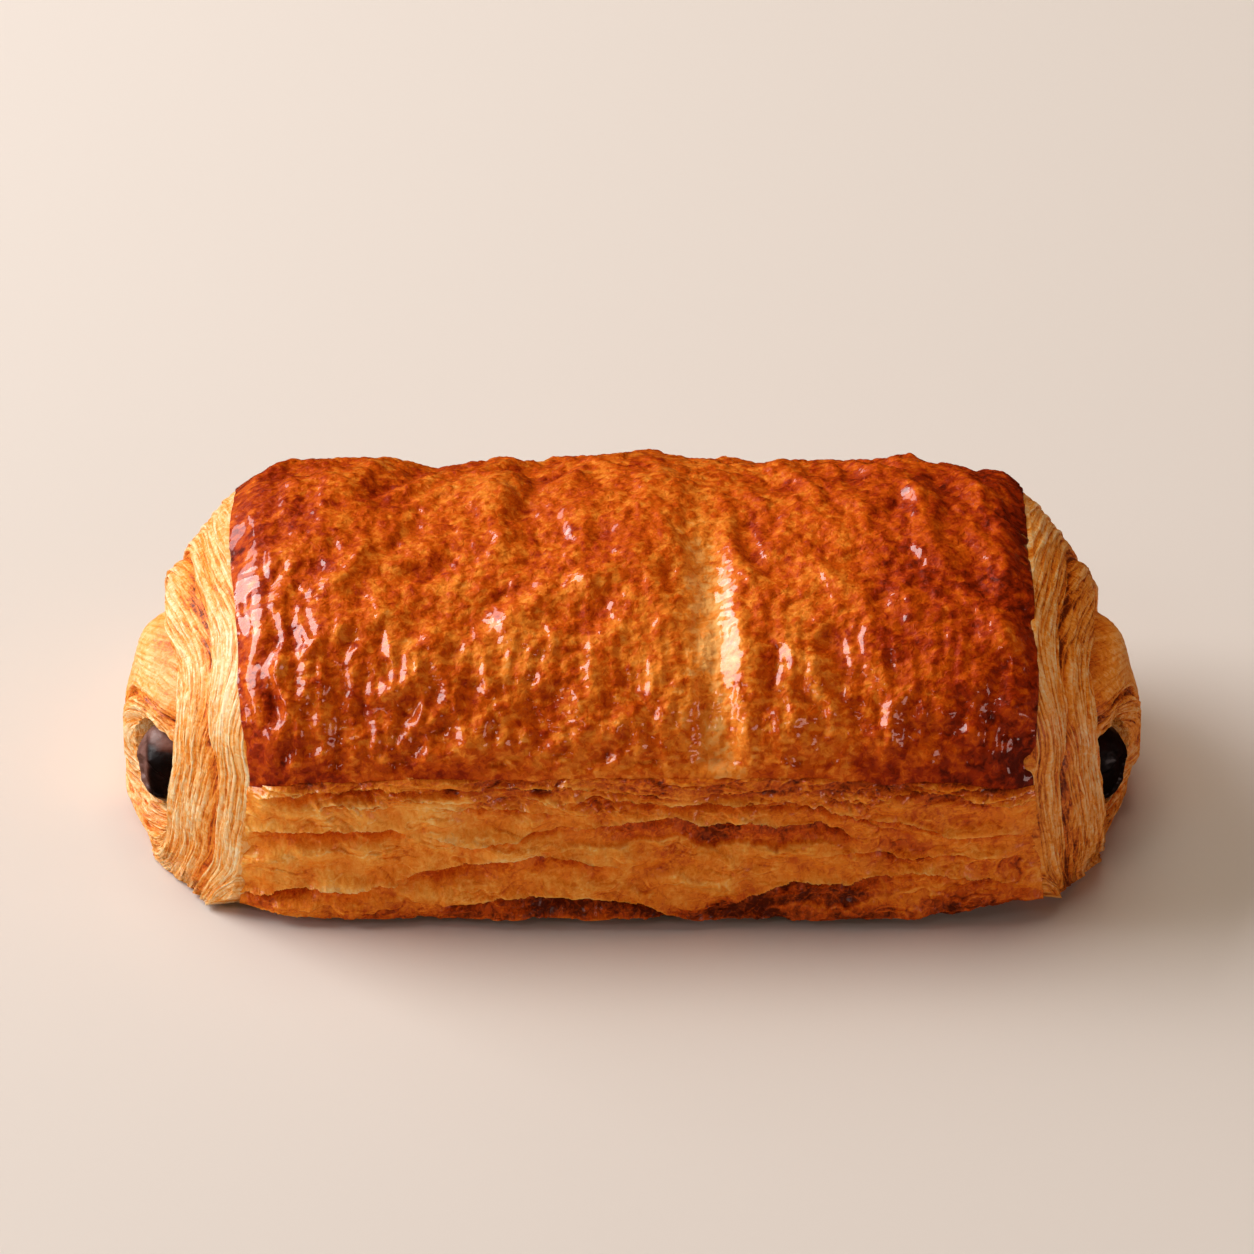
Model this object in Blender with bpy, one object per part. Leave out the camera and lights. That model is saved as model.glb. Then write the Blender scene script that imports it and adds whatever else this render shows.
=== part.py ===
"""A pain au chocolat: laminated dough rolled round a chocolate baton, cut across at both ends and baked.

Frame: X runs along the roll, -Y is the shown side, and Z is up from the surface that it rests on.
Lengths are in millimetres here, and become metres when a vertex is placed.
"""

import math

import bmesh
import bpy
from mathutils import Vector, noise

MM = 0.001

# The roll's cross-section, and how much deeper it is halfway along than at its ends
HALF_DEPTH = 30.6
BOW = 1.2
HEIGHT = 35.6
LIP_HEIGHT = 19.4
CROWN_EXPONENT = 2.25
FOOT_INSET = 0.5
SIDE_BELLY = 0.7

# From the middle to the cut edge of the glazed sheet, at its front lip and over the crown
EDGE_LEFT = (44.0, 46.4)
EDGE_RIGHT = (45.2, 46.0)
CORNER_LENGTH = (3.5, 7.5)
CORNER_DROP = (1.8, 3.4)

# The rounded ends: half the whole length, the point that stands out most, and the reach from it to each side
HALF_LENGTH = 60.0
DOME_Y = 2.0
DOME_Z = 9.0
DOME_FRONT_REACH = 33.0
DOME_BACK_REACH = 30.0
DOME_UP_REACH = 27.4

# The seams between the turns of the roll: their place from 0 at the chocolate to 1 at the outline, at shares
# of a turn that start at the shown side and go up, with their depth and half width in millimetres
SEAMS = (
    (((0.0, 0.60), (0.25, 0.78), (0.4, 0.62), (0.55, 0.60), (0.75, 0.95), (1.0, 0.60)), 1.2, 1.5),
    (((0.0, 0.08), (0.25, 0.43), (0.42, 0.43), (0.6, 0.36), (0.75, 0.60), (0.9, 0.30), (1.0, 0.08)), 1.9, 1.4),
    (((0.0, 0.0), (0.15, 0.05), (0.25, 0.17), (0.42, 0.15), (0.6, 0.15), (0.75, 0.35), (0.85, 0.0)), 0.9, 1.2),
)

# The chocolate baton and the channel that it lies in
BATON_Y = -11.0
BATON_Z = 9.7
CHANNEL_HALF_WIDTH = 5.1
CHANNEL_HALF_HEIGHT = 5.3
CHANNEL_EXPONENT = 3.0
BATON_HALF_WIDTH = 4.6
BATON_HALF_HEIGHT = 4.8
BATON_BEVEL = 3.0
BATON_TIP = 56.2
BATON_TIP_SLANT = 0.4

# Where the layers part on the shown side: the height of each lip along X, from the lowest lip up
FRONT_LIPS = (
    ((-46, 2.8), (-37, 4.3), (-30, 2.6), (-20, 3.0), (-10, 4.3), (6, 1.7), (12, 2.4), (29, 6.9), (37, 7.0), (47, 5.2)),
    ((-46, 7.4), (-26, 6.0), (-10, 9.8), (3, 8.2), (20, 9.2), (32, 9.6), (47, 9.0)),
    ((-46, 11.6), (-35, 12.6), (-24, 12.2), (-9, 12.6), (3, 13.4), (14, 14.8), (26, 12.4), (47, 13.0)),
    ((-46, 17.2), (-37, 17.8), (-20, 16.9), (0, 17.3), (20, 16.7), (38, 17.6), (47, 17.0)),
)
# The pockets under each lip: middle along X, half length, height and depth
FRONT_POCKETS = (
    ((-39, 7.5, 2.6, 1.6), (-7, 13.5, 3.0, 2.2), (24, 13, 4.2, 2.0)),
    ((-15, 10.5, 3.0, 1.8), (37, 7, 1.4, 0.9)),
    ((-34.5, 9.5, 2.8, 1.8), (11.3, 13, 3.8, 2.6)),
    ((-37, 6.5, 1.7, 1.3), (-20, 2.5, 1.2, 1.0), (4, 9, 1.1, 0.8), (38, 6, 2.1, 1.5)),
)
BACK_LIPS = (
    ((-46, 4.4), (-32, 6.4), (-14, 3.4), (4, 5.8), (22, 3.8), (36, 6.2), (47, 4.6)),
    ((-46, 10.6), (-26, 9.2), (-6, 12.4), (16, 10.0), (34, 12.0), (47, 10.4)),
    ((-46, 15.8), (-30, 16.8), (-8, 15.6), (12, 17.0), (30, 15.4), (47, 16.6)),
)
BACK_POCKETS = (
    ((-31, 11, 3.2, 1.8), (5, 12, 2.8, 1.7), (36, 7, 2.6, 1.5)),
    ((-8, 13, 3.4, 2.2), (33, 9, 2.8, 1.7)),
    ((-30, 9, 2.4, 1.6), (13, 11, 2.8, 1.9)),
)
CREASE_HEIGHT = 0.35
CREASE_DEPTH = 0.3
LIP_STAND_OUT = 0.35

# The fold along the glazed top, where the sheet sank and stayed pale
FOLD_X = 7.6
FOLD_LEAN = 0.06
FOLD_DEPTH = 1.4
FOLD_HALF_WIDTH = 3.2
# The glazed top's height along its crown, above or below the even curve
CREST = (
    (-44, 0.0), (-36, 0.5), (-22.6, -0.6), (-15.5, 0.2), (-12, -0.6), (-5.5, 0.5), (3.6, 1.2),
    (13.3, -0.3), (22.7, 0.1), (32.7, 0.6), (37.4, -0.2), (44, 0.2),
)

# How finely the faceted solid follows the shape
TOP_STEPS = 28
BASE_STEPS = 7
STATIONS = 35
END_RINGS = 16


def ease(t):
    t = min(1.0, max(0.0, t))
    return t * t * (3 - 2 * t)


def mix(a, b, t):
    return a + (b - a) * t


def along(points, x):
    """The height at x of a smooth line that levels out at each of its points."""
    if x <= points[0][0]:
        return points[0][1]
    for (x0, z0), (x1, z1) in zip(points, points[1:]):
        if x <= x1:
            return mix(z0, z1, ease((x - x0) / (x1 - x0)))
    return points[-1][1]


def pocket_at(pockets, x):
    """The height and depth of the opening under a lip at x, with at least a crease."""
    height, depth = CREASE_HEIGHT, CREASE_DEPTH
    for middle, half_length, most_height, most_depth in pockets:
        u = (x - middle) / half_length
        if abs(u) < 1:
            lens = (1 - u * u) ** 0.75
            height += most_height * lens
            depth += most_depth * lens
    return height, depth


def bow(x):
    """How much farther the sides stand out at x than at the ends."""
    return BOW * (1 - min(1.0, abs(x) / EDGE_LEFT[0]) ** 2)


def side_face(x, z):
    """How far the side stands out from the roll's middle plane at a height, before the layers part."""
    foot = FOOT_INSET * (1 - ease(z / 3.5)) ** 2
    belly = SIDE_BELLY * math.sin(math.pi * min(1.0, z / LIP_HEIGHT))
    return HALF_DEPTH + bow(x) - 0.4 - foot + belly


def side_rows(x, lips, pockets, parted):
    """(out, z) up one side at x: the foot, then sheet, tuck, pocket and lip for each parting, and the last sheet.

    The layers part fully where parted is 1, and lie on the even side where it is 0.
    """
    rows = [(side_face(x, 0.0), 0.0), (side_face(x, 0.9), 0.9)]
    sheet_foot = 1.0
    for lip_line, lip_pockets in zip(lips + (None,), pockets + (None,)):
        if lip_line is None:
            lip, gap, depth = LIP_HEIGHT - 0.35, CREASE_HEIGHT, CREASE_DEPTH
        else:
            lip = along(lip_line, x)
            gap, depth = pocket_at(lip_pockets, x)
        tuck = max(sheet_foot + 0.5, lip - gap)
        lip = max(lip, tuck + 0.25)
        middle = (sheet_foot + tuck) / 2
        crown = 0.14 * (tuck - sheet_foot)
        rows.append((side_face(x, middle) + parted * crown, middle))
        rows.append((side_face(x, tuck) - parted * 0.35 * depth, tuck))
        rows.append((side_face(x, lip) - parted * depth, mix(tuck, lip, 0.72)))
        rows.append((side_face(x, lip) + parted * LIP_STAND_OUT, lip))
        sheet_foot = lip + 0.2
    return rows


def top_relief(x, y):
    """How far the glazed sheet stands above its smooth curve."""
    fold = FOLD_X - FOLD_LEAN * y
    sunk = -FOLD_DEPTH * math.exp(-(((x - fold) / FOLD_HALF_WIDTH) ** 2)) * mix(1.0, 0.3, ease((y + 12) / 24))
    lean = mix(-0.9, 0.25, ease((x + 42) / 55))
    ridges = 0.38 * math.sin((x + lean * y) / 5.6 * math.tau + 2.2 * noise.noise((x / 11, y / 14, 3.0)))
    swell = 0.7 * noise.noise((x / 13, y / 17, 7.5))
    crest = along(CREST, x) * ease((y + 22) / 26)
    return sunk + ridges * ease(abs(x - fold) / 6) + swell * ease((8 - y) / 16) + crest


def top_point(x, step):
    """(y, z) on the glazed top at x, a number of steps from its front lip towards its back lip."""
    turn = math.pi * step / TOP_STEPS
    c, s = math.cos(turn), math.sin(turn)
    y = -(HALF_DEPTH + bow(x)) * math.copysign(abs(c) ** (2 / CROWN_EXPONENT), c)
    z = LIP_HEIGHT + (HEIGHT - LIP_HEIGHT) * s ** (2 / CROWN_EXPONENT)
    out = Vector((y, z - 0.5 * LIP_HEIGHT)).normalized()
    relief = top_relief(x, y) * ease(math.sin(turn) / 0.3)
    return y + out.x * relief, z + out.y * relief


SIDE_COUNT = 2 + 4 * (len(FRONT_LIPS) + 1)
BACK_COUNT = 2 + 4 * (len(BACK_LIPS) + 1)
OUTLINE_COUNT = SIDE_COUNT + TOP_STEPS + 1 + BACK_COUNT + BASE_STEPS - 1


def outline_point(index, x, parted):
    """(y, z) of one point of the closed outline at x: up the front, over the top, down the back and under the base."""
    if index < SIDE_COUNT:
        out, z = side_rows(x, FRONT_LIPS, FRONT_POCKETS, parted)[index]
        return -out, z
    index -= SIDE_COUNT
    if index <= TOP_STEPS:
        return top_point(x, index)
    index -= TOP_STEPS + 1
    if index < BACK_COUNT:
        return side_rows(x, BACK_LIPS, BACK_POCKETS, parted)[BACK_COUNT - 1 - index]
    share = (index - BACK_COUNT + 1) / BASE_STEPS
    return mix(side_face(x, 0.0), -side_face(x, 0.0), share), 0.0


def over_crown(z):
    """0 at the front and back lips and below them, and 1 on the crown."""
    return ease((z - LIP_HEIGHT) / (0.7 * (HEIGHT - LIP_HEIGHT)))


def dome(y, z):
    """How near the rounded end comes to its farthest point: 1 there, and 0 at the outline above the base."""
    across = (y - DOME_Y) / (DOME_BACK_REACH if y > DOME_Y else DOME_FRONT_REACH)
    up = max(0.0, z - DOME_Z) / DOME_UP_REACH
    reach = min(1.0, (abs(across) ** 2.2 + up**2.2) ** (1 / 2.2))
    upward = ease(math.atan2(up, abs(across) + 1e-6) / (0.42 * math.pi))
    return mix((1 - reach**1.5) ** 0.75, 1 - reach**1.1, upward)


def cut_edge(side, y, z):
    """How far from the middle the glazed sheet is cut off, over a point of the outline."""
    lip, crown = EDGE_LEFT if side < 0 else EDGE_RIGHT
    return mix(lip, crown, over_crown(z) if y < 0 else 1.0)


def end_x(side, y, z):
    """Where the outline meets the end, from the middle, with the foot running out under the wound layers."""
    return mix(cut_edge(side, y, z), HALF_LENGTH, dome(y, z))


def channel_point(angle):
    """The channel's wall in the direction of an angle round the baton's middle."""
    c, s = abs(math.cos(angle)), abs(math.sin(angle))
    n = CHANNEL_EXPONENT
    r = ((c / CHANNEL_HALF_WIDTH) ** n + (s / CHANNEL_HALF_HEIGHT) ** n) ** (-1 / n)
    return BATON_Y + r * math.cos(angle), BATON_Z + r * math.sin(angle)


def seam_relief(share, turn, span):
    """How deep the seams between the turns of the roll are, at a share of a span from the chocolate outwards.

    The turns are pressed together where the span is short.
    """
    relief = 0.0
    for line, depth, half_width in SEAMS:
        away = (share - along(line, turn)) * span / half_width
        relief -= depth * math.exp(-away * away)
    return relief * ease(span / 13)


def end_ring(side, share):
    """The ring of the end face at a share of the way from the chocolate to the outline."""
    ring = []
    for index in range(OUTLINE_COUNT):
        x, y, z = edge_point(side, index, 0.0)
        angle = math.atan2(z - BATON_Z, y - BATON_Y)
        turn = ((math.pi - angle) / math.tau) % 1.0
        wall_y, wall_z = channel_point(angle)
        span = math.hypot(y - wall_y, z - wall_z)
        py, pz = mix(wall_y, y, share), mix(wall_z, z, share)
        edge = cut_edge(side, y, z)
        at_rim = abs(x) - mix(edge, HALF_LENGTH, dome(y, z))
        out = mix(edge, HALF_LENGTH, dome(py, pz)) + at_rim * share**4
        out += seam_relief(share, turn, span) * ease((1 - share) * span / 2.5)
        ring.append((side * out, py, pz))
    return ring


def edge_point(side, index, parted):
    """The outline's point where it meets an end."""
    return lateral_point(index, 0.0 if side < 0 else 1.0, parted)


def lateral_point(index, share, parted=1.0):
    """A point of the outline at a share of the way along the roll, rounded over towards its cut edges."""
    left, right = (end_x(side, *outline_point(index, side * EDGE_LEFT[0], 0.0)) for side in (-1, 1))
    x = mix(-left, right, share)
    y, z = outline_point(index, x, parted)
    crown = over_crown(z) if z > LIP_HEIGHT else 0.0
    length = mix(*CORNER_LENGTH, crown)
    near = min(1.0, max(0.0, 1 - min(x + left, right - x) / length))
    drop = mix(*CORNER_DROP, crown) * (1 - math.sqrt(1 - near * near)) * ease(z / 6)
    inward = Vector((0 - y, 0.3 * LIP_HEIGHT - z)).normalized()
    return x, y + inward.x * drop, z + inward.y * drop


def station_shares():
    """Stations along the roll from 0 to 1, closer together towards both cut edges."""
    return [mix(t, 0.5 - 0.5 * math.cos(math.pi * t), 0.55) for t in (i / (STATIONS - 1) for i in range(STATIONS))]


def dough_rings():
    """Every ring of the solid: out over the left end, along the roll, in over the right end, and back by the channel."""
    body = [[lateral_point(index, share) for index in range(OUTLINE_COUNT)] for share in station_shares()]
    shares = [ring / END_RINGS for ring in range(END_RINGS)]
    left = [end_ring(-1, share) for share in shares]
    right = [end_ring(1, share) for share in reversed(shares)]
    return left + body + right


def rolled_mesh(name, rings):
    """One closed skin: a grid rolled up both ways, so that its last ring meets its first."""
    closed = rings + rings[:1]
    around = len(rings[0])
    bm = bmesh.new()
    bmesh.ops.create_grid(bm, x_segments=around, y_segments=len(rings), size=1)
    for vertex in bm.verts:
        column = round((vertex.co.x + 1) / 2 * around) % around
        row = round((vertex.co.y + 1) / 2 * len(rings))
        vertex.co = Vector(closed[row][column]) * MM
    bmesh.ops.remove_doubles(bm, verts=bm.verts, dist=0.01 * MM)
    bmesh.ops.triangulate(bm, faces=bm.faces, quad_method="SHORT_EDGE")
    bmesh.ops.recalc_face_normals(bm, faces=bm.faces)
    mesh = bpy.data.meshes.new(name)
    bm.to_mesh(mesh)
    bm.free()
    return mesh


def baton_mesh(name):
    """A bar of chocolate with worn edges, its two tips slanting back towards the shown side."""
    bm = bmesh.new()
    bmesh.ops.create_cube(bm, size=2)
    bmesh.ops.scale(bm, vec=(BATON_TIP * MM, BATON_HALF_WIDTH * MM, BATON_HALF_HEIGHT * MM), verts=bm.verts)
    bmesh.ops.bevel(
        bm, geom=bm.edges, offset=BATON_BEVEL * MM, segments=4, profile=0.5, affect="EDGES", material=-1
    )
    for vertex in bm.verts:
        at_tip = abs(vertex.co.x) > (BATON_TIP - BATON_BEVEL - 1) * MM
        if at_tip:
            vertex.co.x += math.copysign(BATON_TIP_SLANT, vertex.co.x) * vertex.co.y
    bmesh.ops.translate(bm, vec=(0, BATON_Y * MM, BATON_Z * MM), verts=bm.verts)
    bmesh.ops.triangulate(bm, faces=bm.faces)
    bmesh.ops.recalc_face_normals(bm, faces=bm.faces)
    mesh = bpy.data.meshes.new(name)
    bm.to_mesh(mesh)
    bm.free()
    return mesh


def food_material(name, colour, roughness):
    material = bpy.data.materials.new(name)
    material.use_nodes = True
    shader = material.node_tree.nodes["Principled BSDF"]
    shader.inputs["Base Color"].default_value = (*colour, 1)
    shader.inputs["Roughness"].default_value = roughness
    shader.inputs["Metallic"].default_value = 0
    return material


def place(name, mesh, material):
    obj = bpy.data.objects.new(name, mesh)
    obj.data.materials.append(material)
    mesh.shade_smooth()
    mesh.set_sharp_from_angle(angle=math.radians(40))
    bpy.context.scene.collection.objects.link(obj)
    return obj


def main():
    for obj in list(bpy.data.objects):
        bpy.data.objects.remove(obj)
    baked = food_material("baked dough", (0.50, 0.19, 0.045), 0.4)
    chocolate = food_material("dark chocolate", (0.03, 0.012, 0.007), 0.35)
    dough = place("pastry", rolled_mesh("pastry", dough_rings()), baked)
    baton = place("chocolate_baton", baton_mesh("chocolate_baton"), chocolate)
    for obj in (dough, baton):
        print(obj.name, len(obj.data.polygons), "triangles", [round(v / MM, 2) for v in obj.dimensions])


main()
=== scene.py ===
# %% [markdown]
# # A pain au chocolat
#
# Laminated dough is rolled round a baton of chocolate, cut across at both ends, glazed with egg and baked.
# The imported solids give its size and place. Every piece here is a finer skin over them, so the first cell
# loads that frame and the rest of the file dresses it, one surface at a time. Lengths are in millimetres
# until a mesh is made.

import math

import bmesh
import bpy
import numpy as np
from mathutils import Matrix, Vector


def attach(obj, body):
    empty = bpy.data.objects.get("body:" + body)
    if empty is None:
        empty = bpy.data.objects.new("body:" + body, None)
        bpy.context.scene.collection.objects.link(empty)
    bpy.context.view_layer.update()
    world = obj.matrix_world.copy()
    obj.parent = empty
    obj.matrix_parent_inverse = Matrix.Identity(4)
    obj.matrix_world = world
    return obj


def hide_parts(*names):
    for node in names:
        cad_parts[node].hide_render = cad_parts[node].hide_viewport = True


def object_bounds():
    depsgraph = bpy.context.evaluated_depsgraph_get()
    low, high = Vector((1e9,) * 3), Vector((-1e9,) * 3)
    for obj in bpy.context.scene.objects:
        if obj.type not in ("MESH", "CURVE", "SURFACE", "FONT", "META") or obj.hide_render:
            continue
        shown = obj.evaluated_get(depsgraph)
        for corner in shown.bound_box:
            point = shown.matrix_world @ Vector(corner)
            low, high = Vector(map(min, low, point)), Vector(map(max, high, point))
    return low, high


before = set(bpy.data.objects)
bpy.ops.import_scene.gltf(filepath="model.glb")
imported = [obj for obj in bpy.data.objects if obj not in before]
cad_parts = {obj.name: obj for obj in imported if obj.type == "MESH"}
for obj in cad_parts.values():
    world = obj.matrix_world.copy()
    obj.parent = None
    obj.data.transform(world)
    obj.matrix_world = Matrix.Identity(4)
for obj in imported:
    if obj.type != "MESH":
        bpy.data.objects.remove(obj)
frame_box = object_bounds()
MM = 0.001
low, high = (np.array(corner) / MM for corner in frame_box)
print("frame box in mm:", low.round(2), high.round(2))

# %% [markdown]
# ## Helpers for soft shapes
#
# Baked dough has no straight lines. Its forms are formulas over whole arrays of points, which numpy works
# out in one go: a smooth step, a line through a few heights, and a smooth noise that turns each corner of a
# grid into a fixed angle, so that the same numbers give the same pastry each time. Two richer fields build
# on it: rounded bumps, for blisters, and stacked thin sheets, for flaky dough.


# %% Smooth steps, lines and noise
def ease(t):
    t = np.clip(t, 0, 1)
    return t * t * (3 - 2 * t)


def mix(a, b, t):
    return a + (b - a) * t


def hump(x, at, width):
    """A soft bump, 1 at its place and about a third at its width."""
    return np.exp(-(((x - at) / width) ** 2))


def oval(angle, half_width, half_height, n):
    """How far a squared oval reaches in a direction."""
    c, s = np.abs(np.cos(angle)), np.abs(np.sin(angle))
    return ((c / half_width) ** n + (s / half_height) ** n) ** (-1 / n)


def along(points, x):
    """The height at x of a smooth line that levels out at each of its points."""
    xs, zs = (np.array(column, float) for column in zip(*points))
    x = np.clip(x, xs[0], xs[-1])
    i = np.clip(np.searchsorted(xs, x) - 1, 0, len(xs) - 2)
    return mix(zs[i], zs[i + 1], ease((x - xs[i]) / (xs[i + 1] - xs[i])))


def corner_angle(ix, iy, seed):
    """A fixed angle for each whole-numbered place, from mixing the bits of its numbers."""
    h = (ix.astype(np.int64) * 374761393 + iy.astype(np.int64) * 668265263 + seed * 974634777) & 0xFFFFFFFF
    h = ((h ^ (h >> 13)) * 1274126177) & 0xFFFFFFFF
    return ((h ^ (h >> 16)) & 0xFFFFFFFF) * (math.tau / 2**32)


def wander(x, y, seed):
    """Smooth noise over a plane, from about -1 to 1, with one swing to about each unit."""
    x, y = np.broadcast_arrays(np.asarray(x, float), np.asarray(y, float))
    ix, iy = np.floor(x), np.floor(y)
    fx, fy = x - ix, y - iy
    ux, uy = (f * f * f * (f * (f * 6 - 15) + 10) for f in (fx, fy))

    def corner(dx, dy):
        angle = corner_angle(ix + dx, iy + dy, seed)
        return np.cos(angle) * (fx - dx) + np.sin(angle) * (fy - dy)

    near = mix(corner(0, 0), corner(1, 0), ux)
    far = mix(corner(0, 1), corner(1, 1), ux)
    return 1.5 * mix(near, far, uy)


def rough(x, y, seed, octaves=3):
    """Noise with finer and fainter noise on top."""
    return sum(wander(x * 2**k, y * 2**k, seed + k) / 2**k for k in range(octaves))


def chance(ix, iy, seed):
    """A fixed random number from 0 to 1 for each whole-numbered place."""
    return corner_angle(np.asarray(ix, float), np.asarray(iy, float), seed) / math.tau


def cells(x, y, seed):
    """Rounded bumps from 0 to 1, one to about each unit, with creases between; and each bump's own number."""
    x, y = np.broadcast_arrays(np.asarray(x, float), np.asarray(y, float))
    ix, iy = np.floor(x), np.floor(y)
    nearest = np.full(x.shape, 9.0)
    number = np.zeros(x.shape)
    for dx in (-1, 0, 1):
        for dy in (-1, 0, 1):
            cx, cy = ix + dx, iy + dy
            away = (x - cx - chance(cx, cy, seed)) ** 2 + (y - cy - chance(cx, cy, seed + 1)) ** 2
            number = np.where(away < nearest, chance(cx, cy, seed + 2), number)
            nearest = np.minimum(nearest, away)
    return np.clip(1 - nearest / 0.7, 0, 1), number


def sheets(level, x, seed):
    """Thin overlapping sheets stacked upwards: 1 at each one's lower lip, falling to 0 below the next.

    Every sheet stands out over some stretches of x and lies flat over others. The share of the way up a
    sheet, and how much it stands out, come with it.
    """
    level = level + 0.2 * rough(x / 1.3, np.floor(level) * 5.3, seed, 3)
    count = np.floor(level)
    part = level - count
    stands = ease(0.5 + 1.1 * wander(x / 9, count * 7.7, seed + 5))
    return (1 - part) ** 1.6 * stands, part, stands


# %% [markdown]
# ## The camera
#
# The photograph looks down at about 30 degrees from far away, so its lines are almost parallel: a long
# lens does the same. One millimetre of the pastry is 8.5 pixels of the picture, which sets the distance.

# %% Place the camera
CAMERA_ELEVATION = math.radians(30)
PIXELS_PER_MM = 8.5
PICTURE_PIXELS = 1254
LENS, SENSOR = 200.0, 36.0
picture_width = PICTURE_PIXELS / PIXELS_PER_MM
distance = picture_width * LENS / SENSOR
middle = Vector((-0.6, 1.4, 20.8))
toward_camera = Vector((0, -math.cos(CAMERA_ELEVATION), math.sin(CAMERA_ELEVATION)))
scene = bpy.context.scene


def put(name, data, at=None, facing=None):
    """A new object in the scene. Cameras and lamps get a place in mm and a direction to face."""
    made = bpy.data.objects.new(name, data)
    if at is not None:
        made.location = at * MM
        made.rotation_mode = "QUATERNION"
        made.rotation_quaternion = facing.to_track_quat("-Z", "Y")
    scene.collection.objects.link(made)
    return made


camera = put("camera", bpy.data.cameras.new("camera"), middle + toward_camera * distance, -toward_camera)
camera.data.lens, camera.data.sensor_width = LENS, SENSOR
camera.data.clip_start, camera.data.clip_end = 0.01, 20
scene.camera = camera
print("camera distance in mm:", round(distance))

# %% [markdown]
# ## The light
#
# One large soft lamp stands to the left and a little behind: the left end is bright, the right end and the
# shown side fall away, and the glaze gets long pale gleams. Smaller cards stand where the slopes of the
# glaze look, and light up their gleams. The last three lamps are light that comes back from the ceiling and
# the table. They are kept out of the gleams, and two lie low, so that the shadow at the foot stays dark.


# %% Hang the lamps
CARDS = (  # name, place, width and height in mm, power, colour
    ("window_light", (-960, 380, 740), (1050, 700), 18.4, (1.0, 0.975, 0.96)),
    ("back_card", (-620, 740, 400), (420, 260), 1.0, (1.0, 0.94, 0.96)),
    ("front_card", (-420, -560, 700), (220, 100), 0.25, (1.0, 0.95, 0.92)),
    ("left_card", (-920, -170, 280), (300, 200), 1.1, (1.0, 0.93, 0.98)),
    ("right_card", (900, -420, 200), (460, 300), 1.7, (1.0, 0.72, 0.66)),
)
BOUNCES = (
    ("ceiling_bounce", (-80, 330, 1100), (800, 800), 5.0, (1.0, 0.86, 0.68)),
    ("front_bounce", (-200, -900, 80), (800, 130), 0.6, (1.0, 0.86, 0.62)),
    ("left_bounce", (-760, -420, 80), (500, 130), 0.9, (1.0, 0.80, 0.46)),
)
LAMPS_LOOK_AT = Vector((0, 0, 15))
WORLD_COLOUR, WORLD_STRENGTH = (1.0, 0.68, 0.40, 1), 0.05


def lamp(name, place, size, power, colour):
    """An area lamp that faces the pastry."""
    light = bpy.data.lights.new(name, "AREA")
    light.shape = "RECTANGLE"
    light.size, light.size_y = (side * MM for side in size)
    light.energy, light.color = power, colour
    return put(name, light, Vector(place), LAMPS_LOOK_AT - Vector(place))


for card in CARDS:
    lamp(*card)
for bounce in BOUNCES:
    lamp(*bounce).visible_glossy = False
scene.world = world = bpy.data.worlds.new("studio")
world.use_nodes = True
background = world.node_tree.nodes["Background"]
background.inputs["Color"].default_value = WORLD_COLOUR
background.inputs["Strength"].default_value = WORLD_STRENGTH
world.cycles_visibility.glossy = False
scene.view_settings.view_transform = "Standard"
scene.view_settings.look = "None"
print("lamps:", len(CARDS) + len(BOUNCES))

# %% [markdown]
# ## The section of the roll
#
# Cut across, the loaf has upright sides, a flat underside and a crown like a flattened arch. The same few
# sizes as in the solids are used, so that the finer skins lie on them. The body is even between its two
# rounded ends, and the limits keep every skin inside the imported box.

# %% Sizes of the roll
HALF_DEPTH, BOW = 30.6, 1.2
HEIGHT, LIP_HEIGHT = 35.6, 19.4
CROWN_EXPONENT, CROWN_ARC = 2.25, 84.0
BODY_HALF = 44.0
FOOT_INSET, SIDE_BELLY = 0.5, 0.7
HALF_LENGTH = 60.0
EDGE_LEFT, EDGE_RIGHT = (43.7, 45.0), (45.8, 46.3)
EDGE_LEAN, EDGE_FLARE = 2.1, 1.7
CORNER_LENGTH, CORNER_DROP = (6.0, 11.0), (0.9, 1.8)
EDGE_BAND, EDGE_SLOPE = 3.6, 0.40
LIP_LINE = ((-44, -1.3), (-35, 0.0), (-22, 0.6), (-2, 0.9), (19, 0.8), (31, 0.0), (36, -0.1), (45, -1.6))
FOLD_X, FOLD_LEAN, FOLD_DEPTH, FOLD_HALF_WIDTH = 7.7, 0.055, 1.5, 2.7
CREST = (
    (-44, 0.0), (-36, 0.5), (-22.6, -0.6), (-15.5, 0.2), (-12, -0.6), (-5.5, 0.5), (3.6, 1.1),
    (13.3, -0.3), (22.7, 0.1), (32.7, 0.6), (37.4, -0.2), (44, 0.2),
)
DOME_Y, DOME_Z = 2.0, 9.0
DOME_FRONT_REACH, DOME_BACK_REACH, DOME_UP_REACH = 33.0, 30.0, 27.4
BATON_Y, BATON_Z = -11.0, 9.7
DEPTH_LIMIT, SIDE_LIMIT, HEIGHT_LIMIT = 32.65, 32.5, 36.68
print("section in mm:", 2 * HALF_DEPTH, "deep,", HEIGHT, "high, glazed sheet from", LIP_HEIGHT, "up")


def bow(x):
    """How far the sides bulge out along the roll."""
    return BOW * (1 - np.minimum(1.0, np.abs(x) / BODY_HALF) ** 2)


def side_face(x, z):
    """How far a side stands out from the middle plane, before its sheets part."""
    foot = (FOOT_INSET + 1.6 * ease((np.abs(x) - 36) / 9)) * (1 - ease(z / 3.5)) ** 2
    belly = SIDE_BELLY * np.sin(math.pi * np.clip(z / LIP_HEIGHT, 0, 1))
    return HALF_DEPTH + bow(x) - 0.4 - foot + belly


def over_crown(z):
    """0 at the lips of the glazed sheet and below them, and 1 on the crown."""
    return ease((z - LIP_HEIGHT) / (0.7 * (HEIGHT - LIP_HEIGHT)))


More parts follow.
